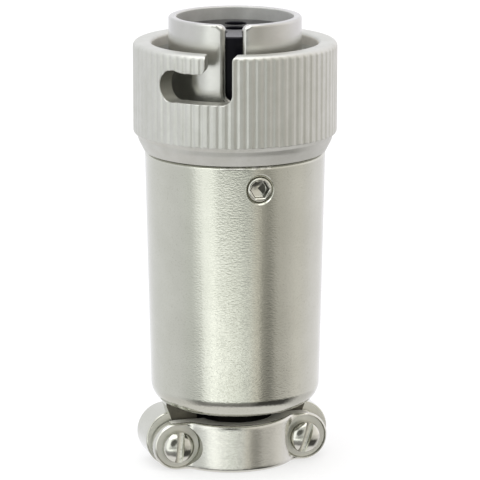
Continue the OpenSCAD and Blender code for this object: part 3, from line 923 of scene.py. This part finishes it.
FINISHES = {
    "satin_nickel_ring": plated("bead_blasted_nickel", (0.64, 0.645, 0.605), (0.6, 0.605, 0.56), 0.5, 0.12,
                                (0.42, 0.5), (3.0, 3.0, 0.7), 0.006),
    "polished_nickel": plated("turned_nickel", (0.585, 0.585, 0.555), (0.545, 0.545, 0.515), 0.3, 0.05,
                              (0.2, 0.26), (1.2, 5.0, 0.3), 0.0038),
    "plated_casting": plated("satin_casting", (0.575, 0.58, 0.515), (0.545, 0.55, 0.485), 0.25, 0.2,
                             (0.1, 0.15), (3.0, 5.6, 0.15), 0.0115),
    "bright_screw": plated("bright_screw_steel", (0.68, 0.68, 0.62), (0.6, 0.6, 0.54), 0.8, 0.1,
                           (0.11, 0.17), (1.6, 1.6, 0.2), 0.016),
    "spring_steel": plated("spring_strip", (0.36, 0.36, 0.37), (0.3, 0.3, 0.31), 0.6, 0.1,
                           (0.25, 0.35), (2.0, 2.0, 0.4), 0.003),
    "plated_contact": plated("gold_flash", (0.78, 0.58, 0.3), (0.7, 0.5, 0.24), 0.6, 0.08,
                             (0.18, 0.28), (2.0, 6.0, 0.4), 0.002),
    "black_insert": moulded("black_resin", (0.006, 0.006, 0.009), (0.003, 0.003, 0.005), 0.6, 0.2,
                            (0.14, 0.22), (2.0, 2.0, 0.5), 0.002),
}
# Painted shade: a near-black copy of the plating for the back shell's bore, where shade falls
cavity_shade_finish = plated("cavity_painted_shade", (0.035, 0.034, 0.03), (0.02, 0.02, 0.018), 0.4, 0.3,
                       (0.5, 0.6), (2.0, 2.0, 0.5), 0.01)
# Partly painted light: a duller, lighter copy of the sleeve's plating for its bore, which lies in shade
bore_light_finish = plated("turned_bore_painted_light", (0.64, 0.64, 0.62), (0.56, 0.56, 0.54), 0.5, 0.1,
                     (0.45, 0.55), (0.6, 4.0, 0.5), 0.006, metal=0.4)
# Partly painted light: a duller, lighter copy of the ring's plating for its bore, which lies in shade
ring_bore_light_finish = plated("blasted_bore_painted_light", (0.74, 0.72, 0.66), (0.68, 0.66, 0.6), 0.5, 0.12,
                          (0.5, 0.6), (3.0, 3.0, 0.7), 0.006, metal=0.4)
# Painted shade: a darker copy of the ring's plating for the slots' sides
slot_shade_finish = plated("slot_painted_shade", (0.46, 0.455, 0.41), (0.4, 0.395, 0.35), 0.5, 0.15,
                     (0.45, 0.55), (2.0, 2.0, 0.5), 0.006)
strap_finish = plated("satin_strap", (0.66, 0.66, 0.605), (0.62, 0.62, 0.565), 0.3, 0.1,
                      (0.16, 0.23), (3.0, 5.6, 0.15), 0.009)
# Painted light: a lighter, rougher copy of the plating for faces that look straight to the front
front_light_finish = plated("front_faces_painted_light", (0.86, 0.86, 0.8), (0.78, 0.78, 0.72), 0.6, 0.1,
                      (0.4, 0.5), (2.0, 2.0, 0.5), 0.006)
# Painted light: a lighter, rougher copy of the plating for the strap's top, which lies in shade under the lip
top_light_finish = plated("strap_top_painted_light", (0.86, 0.85, 0.78), (0.76, 0.75, 0.68), 0.6, 0.15,
                        (0.5, 0.6), (2.0, 2.0, 0.5), 0.01, metal=0.3)
# Painted glints: bright dashes on the barrel's front edge
glint_finish = plated("front_edge_painted_glint", (0.9, 0.9, 0.84), (0.5, 0.5, 0.46), 1.2, 0.3,
                     (0.3, 0.4), (1.0, 1.0, 0.4), 0.01)
# Painted reflection: a darker band on the rounded left edge of the key slot
key_edge_reflection = plated("key_edge_painted_reflection", (0.42, 0.42, 0.385), (0.34, 0.34, 0.31), 1.0, 0.3,
                         (0.3, 0.4), (2.0, 2.0, 0.4), 0.008)
shaded_finish = plated("socket_shade", (0.14, 0.14, 0.12), (0.08, 0.08, 0.07), 1.0, 0.3,
                       (0.3, 0.4), (2.0, 2.0, 0.4), 0.006)
# Painted shade: a dark olive copy of the plating for the neck's front faces, in the shade of the lip
neck_shade_finish = plated("neck_painted_shade", (0.17, 0.16, 0.125), (0.12, 0.115, 0.09), 0.6, 0.2,
                     (0.5, 0.6), (2.0, 2.0, 0.5), 0.01, metal=0.6)


# Faces with a finish of their own, or with painted light or shade; limits of their places, and of the
# components of their normals
NEAR = 0.1
SADDLE_FACES = (SADDLE_FACE - 0.02, SADDLE_FACE + 0.02)
NECK_FACES = (SADDLE_FACE + 0.02, SADDLE_FACE + NEAR)
INWARD_LEAST = 0.5
AHEAD_LEAST = 0.97
UP_LEAST = 0.95
CAVITY_START = 0.5
SLOT_WALL = (RING_BORE_R + 0.3, RING_R - 0.4)
SLOT_HEIGHTS = (SLOT_Z0 - 0.2, RING_Z1 - 0.1)
# Azimuths, depth and tilts of the painted glints on the barrel's front edge
GLINT_TURNS = ((-25, -10), (-6, -1), (0.5, 7))
GLINT_L = 0.4
GLINT_TILT = (0.2, 0.8)
KEY_EDGE_TURN = 20
KEY_EDGE_TILT = (0.7, 0.996)
KEY_EDGE_UP = 0.4
KEY_EDGE_Z0 = RING_Z1 - 6
LEFT_LEAST = 0.3


def azimuth_of(middle):
    """Azimuth of a place, in degrees."""
    return math.degrees(math.atan2(middle.x, -middle.y))


def outwards(middle, normal):
    """How far a face looks away from the plug's axis, from -1 to 1."""
    return (normal.x * middle.x + normal.y * middle.y) / max(math.hypot(middle.x, middle.y), WELD)


def in_bore(middle, normal, radius, level):
    """Whether a face looks in at the plug's axis, within a radius and above a level."""
    within = math.hypot(middle.x, middle.y) < radius and middle.z > level
    return within and outwards(middle, normal) < -INWARD_LEAST


def in_slot(middle, normal):
    """Whether a face of the ring lies within the thickness of its wall, as a slot's sides do; these get
    painted shade.
    """
    in_wall = SLOT_WALL[0] < math.hypot(middle.x, middle.y) < SLOT_WALL[1]
    return in_wall and SLOT_HEIGHTS[0] < middle.z < SLOT_HEIGHTS[1]


def looks_ahead(middle, normal, nearest, furthest):
    """Whether a face looks straight to the front, from between two distances in front of the axis."""
    return normal.y < -AHEAD_LEAST and nearest < -middle.y < furthest


def on_glint_edge(middle, normal):
    """Whether a face lies on the barrel's front edge, where bright glints are painted."""
    rubbed = any(start < azimuth_of(middle) < stop for start, stop in GLINT_TURNS)
    return rubbed and middle.z > BODY_Z1 - GLINT_L and GLINT_TILT[0] < normal.z < GLINT_TILT[1]


def on_key_edge(middle, normal):
    """Whether a face lies on the rounded left edge of the key slot, where a dark reflection is painted."""
    beside = -KEY_EDGE_TURN < azimuth_of(middle) - KEY_AZIMUTH < 0 and middle.z > KEY_EDGE_Z0
    tilted = KEY_EDGE_TILT[0] < outwards(middle, normal) < KEY_EDGE_TILT[1]
    return beside and tilted and normal.z < KEY_EDGE_UP


def in_hexagon(middle, normal):
    """Whether a face of the set screw's socket looks to the left; such faces are dark in the photograph."""
    return normal.x < -LEFT_LEAST and math.hypot(middle.x, middle.z - SET_Z) < SET_HEX_R


DRESSED = (
    # painted shade in the back shell's bore
    ("back_shell", cavity_shade_finish, lambda m, n: in_bore(m, n, THREAD_R + NEAR, CAVITY_START)),
    # painted shade on the neck's front faces
    ("back_shell", neck_shade_finish, lambda m, n: looks_ahead(m, n, *NECK_FACES)),
    # painted light on the saddle's front face
    ("back_shell", front_light_finish, lambda m, n: looks_ahead(m, n, *SADDLE_FACES)),
    # painted glints on the barrel's front edge
    ("back_shell", glint_finish, on_glint_edge),
    ("set_screw", shaded_finish, in_hexagon),
    # painted light in the ring's bore
    ("coupling_ring", ring_bore_light_finish, lambda m, n: in_bore(m, n, RING_BORE_R + NEAR, RING_MOUTH_Z)),
    # painted shade on the slots' sides
    ("coupling_ring", slot_shade_finish, in_slot),
    # painted light in the sleeve's bore
    ("plug_shell", bore_light_finish, lambda m, n: in_bore(m, n, SLEEVE_BORE_R + NEAR, RING_Z0)),
    # painted dark reflection beside the key slot
    ("plug_shell", key_edge_reflection, on_key_edge),
    ("clamp_strap", strap_finish, lambda m, n: True),
    # painted light on the strap's front faces
    ("clamp_strap", front_light_finish, lambda m, n: looks_ahead(m, n, 0, EAR_FACE + NEAR)),
    # painted light on the strap's top faces
    ("clamp_strap", top_light_finish, lambda m, n: n.z > UP_LEAST),
)


# Assembly

SMOOTH_ANGLE = 32


def smooth_edges(piece):
    """Smooth shading that keeps sharper edges, with broad faces setting the normals."""
    piece.data.shade_smooth()
    piece.data.set_sharp_from_angle(angle=math.radians(SMOOTH_ANGLE))
    weight = piece.modifiers.new("broad_faces_lead", "WEIGHTED_NORMAL")
    weight.keep_sharp = True
    weight.weight = 100


def to_metres(made):
    """Scales a finished mesh from millimetres to the scene's metres."""
    made.data.transform(Matrix.Scale(MM, 4))


def fit(piece, node):
    """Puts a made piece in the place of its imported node: body, slot and finish follow the record."""
    rows = {row["node"]: row["material_slot"] for row in frame["record"]["subparts"]}
    bodies = frame["record"]["behaviour"]["bodies"]
    body = next(name for name, members in bodies.items() if node in members)
    to_metres(piece)
    piece.data.materials.clear()
    piece.data.materials.append(FINISHES[rows[node]])
    smooth_edges(piece)
    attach(piece, body)
    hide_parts(node)


def dress_faces(piece, finish, chosen):
    """Gives a finish of their own, or painted light or shade, to the faces that a test of their middle and
    normal chooses.
    """
    piece.data.materials.append(finish)
    for face in piece.data.polygons:
        if chosen(face.center / MM, face.normal):
            face.material_index = len(piece.data.materials) - 1


MADE = {
    "coupling_ring": make_coupling_ring(),
    "plug_shell": make_plug_shell(),
    "front_insulator": make_front_insert(),
    "back_shell": make_back_shell(),
    "set_screw": make_set_screw(),
    "clamp_strap": make_clamp_strap(),
    "clamp_screw_left": make_clamp_screw("clamp_screw_left"),
    "clamp_screw_right": make_clamp_screw("clamp_screw_right"),
}
for node, piece in MADE.items():
    fit(piece, node)
for node, finish, chosen in DRESSED:
    dress_faces(MADE[node], finish, chosen)
for row in frame["record"]["subparts"]:
    if row["node"] not in MADE:
        materials = frame["nodes"][row["node"]].data.materials
        materials.clear()
        materials.append(FINISHES[row["material_slot"]])


# Studio

WHITE = (1, 1, 1, 1)
FLOOR_HALF = 4000
FLOOR_COLOUR = (0.92, 0.92, 0.92, 1)
FLOOR_GLOW = 0.6
SUN_ENERGY = 1.2
SUN_WIDTH = 70
SUN_TILT = (12, -10, 0)

# Camera: place as seen from its aim on the plug's axis, and lens
CAMERA_AZIMUTH = math.radians(-16)
CAMERA_ELEVATION = math.radians(13.17)
CAMERA_REACH = 365.5
CAMERA_AIM_Z = 27.75
LENS = 225
SENSOR_W = 36
LENS_SHIFT = 0.01025
SIGHT_END = 100000

# Light of the surround at azimuths, in three bands: a leaning strip light and a gap that closes upwards
LOW_BAND = [
    (-180, 1.08), (-140, 1.0), (-110, 0.95), (-76, 0.84), (-64, 0.84), (-56, 1.6), (-43, 2.05), (-30, 1.95),
    (-14, 1.72), (2, 1.32), (13, 1.06), (23, 0.42), (31, 0.3), (46, 0.68), (80, 0.94), (130, 1.06),
    (180, 1.08),
]
HIGH_BAND = [
    (-180, 1.04), (-135, 0.96), (-95, 0.9), (-76, 0.9), (-62, 1.55), (-49, 1.3), (-34, 0.56), (-6, 0.4),
    (10, 0.52), (26, 0.46), (38, 0.64), (80, 0.8), (110, 0.97), (180, 1.04),
]
TOP_BAND = [
    (-180, 1.05), (-120, 0.98), (-80, 0.98), (-62, 1.5), (-45, 1.45), (-30, 0.85), (20, 0.76), (60, 0.92),
    (95, 1.18), (130, 1.12), (180, 1.05),
]
TINTS = [
    (-180, (1, 1, 1.05)), (-100, (1, 1, 1.03)), (-75, (0.985, 1, 1.0)), (0, (0.985, 1, 0.97)),
    (15, (1.04, 1, 0.92)), (70, (1.04, 1, 0.97)), (110, (1.03, 1, 1.04)), (180, (1, 1, 1.05)),
]
# Elevations between which one band gives way to the next, and the lowest one to the table
HIGH_RISE = (-18.5, -12.5)
TOP_RISE = (-9.5, -5.5)
TABLE_RISE = (-20, -40)
# Light from below: a pale table, and the dark edge that it shows to the front, as shares of it
TABLE = (0.95, 0.925, 0.93, 1)
EDGE_COLOUR = (0.03, 0.029, 0.026, 1)
EDGE_ELEVATIONS = [(-90, 0), (-54, 0), (-43, 1), (-24, 1), (-18.5, 0), (90, 0)]
EDGE_AZIMUTHS = [(-180, 0), (-100, 0.1), (-66, 0.7), (4, 0.78), (20, 0.95), (60, 0.95), (95, 0.2), (180, 0)]
# Dark place round the camera: its outer and inner angle
CAMERA_SHADE = (22, 13)
CAMERA_COLOUR = (0.12, 0.12, 0.11, 1)


def shades(tree, value, reach, stops):
    """Colour ramp over values from -reach to reach; each stop is a value with a level or a colour."""
    node = add(tree, "ValToRGB", {"Fac": remap(tree, value, -reach, reach)})
    ramp = node.color_ramp
    ramp.interpolation = "EASE"
    while len(ramp.elements) < len(stops):
        ramp.elements.new(0.5)
    for place, (stop, shade) in zip(ramp.elements, stops):
        place.position = (stop + reach) / (2 * reach)
        place.color = (*shade, 1) if isinstance(shade, tuple) else (shade, shade, shade, 1)
    return node.outputs["Color"]


def directions(tree, toward):
    """Azimuth and elevation of a direction, in degrees."""
    way = add(tree, "SeparateXYZ", {0: toward}).outputs
    front = add(tree, "Math", {0: way["Y"], 1: -1.0}, operation="MULTIPLY").outputs[0]
    turn = add(tree, "Math", {0: way["X"], 1: front}, operation="ARCTAN2").outputs[0]
    tilt = add(tree, "Math", {0: way["Z"]}, operation="ARCSINE").outputs[0]
    return [add(tree, "Math", {0: angle}, operation="DEGREES").outputs[0] for angle in (turn, tilt)]


def make_surround():
    """White surround with a bright strip light, a dark gap and the dark place where the camera stands."""
    world = bpy.data.worlds.new("studio")
    bpy.context.scene.world = world
    world.use_nodes = True
    tree = world.node_tree
    toward = add(tree, "TexCoord").outputs["Generated"]
    azimuth, elevation = directions(tree, toward)
    bands = (LOW_BAND, HIGH_BAND, TOP_BAND, TINTS, EDGE_AZIMUTHS)
    low_band, high_band, top_band, tint, edge_turn = [shades(tree, azimuth, 180, stops) for stops in bands]
    light = blend(tree, rise(tree, elevation, *HIGH_RISE), low_band, high_band)
    light = blend(tree, rise(tree, elevation, *TOP_RISE), light, top_band)
    light = blend(tree, 1.0, light, tint, "MULTIPLY")
    light = blend(tree, rise(tree, elevation, *TABLE_RISE), light, TABLE)
    edge = blend(tree, 1.0, shades(tree, elevation, 90, EDGE_ELEVATIONS), edge_turn, "MULTIPLY")
    light = blend(tree, edge, light, EDGE_COLOUR)
    x, y, _ = upright()(math.cos(CAMERA_ELEVATION), CAMERA_AZIMUTH, 0)
    camera_way = (x, y, math.sin(CAMERA_ELEVATION))
    near = add(tree, "VectorMath", {0: toward, 1: camera_way}, operation="DOT_PRODUCT").outputs["Value"]
    shadow = rise(tree, near, *(math.cos(math.radians(angle)) for angle in CAMERA_SHADE))
    light = blend(tree, shadow, light, CAMERA_COLOUR)
    camera_ray = add(tree, "LightPath").outputs["Is Camera Ray"]
    seen = blend(tree, camera_ray, light, WHITE)
    tree.links.new(seen, tree.nodes["Background"].inputs["Color"])


def make_floor():
    """Pale floor that keeps a faint shadow."""
    corners = [(x * FLOOR_HALF, y * FLOOR_HALF, 0) for x, y in ((-1, -1), (1, -1), (1, 1), (-1, 1))]
    floor = make_object("floor", corners, [(0, 1, 2, 3)])
    to_metres(floor)
    pale, tree, shader = new_material("pale_floor")
    shader.inputs["Base Color"].default_value = FLOOR_COLOUR
    shader.inputs["Roughness"].default_value = 1.0
    shader.inputs["Specular IOR Level"].default_value = 0.0
    camera_ray = add(tree, "LightPath").outputs["Is Camera Ray"]
    share = add(tree, "Math", {0: camera_ray, 1: FLOOR_GLOW}, operation="MULTIPLY").outputs[0]
    white = add(tree, "Emission", {"Color": WHITE, "Strength": 1.0}).outputs[0]
    lit = add(tree, "MixShader", {0: share, 1: shader.outputs[0], 2: white}).outputs[0]
    tree.links.new(lit, tree.nodes["Material Output"].inputs["Surface"])
    floor.data.materials.append(pale)
    floor.visible_glossy = False


def make_lamp():
    """Soft overhead light."""
    sun = bpy.data.lights.new("overhead", "SUN")
    sun.energy = SUN_ENERGY
    sun.angle = math.radians(SUN_WIDTH)
    lamp = bpy.data.objects.new("overhead", sun)
    lamp.rotation_euler = [math.radians(angle) for angle in SUN_TILT]
    bpy.context.scene.collection.objects.link(lamp)


def make_camera():
    """Camera at the photograph's place."""
    lens = bpy.data.cameras.new("view")
    lens.lens = LENS
    lens.sensor_width = SENSOR_W
    lens.shift_x = LENS_SHIFT
    lens.clip_end = SIGHT_END * MM
    camera = bpy.data.objects.new("view", lens)
    level = CAMERA_REACH * math.cos(CAMERA_ELEVATION)
    x, y, _ = upright()(level, CAMERA_AZIMUTH, 0)
    camera.location = Vector((x, y, CAMERA_AIM_Z + CAMERA_REACH * math.sin(CAMERA_ELEVATION))) * MM
    aim = Vector((0, 0, CAMERA_AIM_Z)) * MM - camera.location
    camera.rotation_euler = aim.to_track_quat("-Z", "Y").to_euler()
    bpy.context.scene.collection.objects.link(camera)
    bpy.context.scene.camera = camera


make_surround()
make_floor()
make_lamp()
make_camera()
bpy.context.scene.view_settings.view_transform = "Standard"
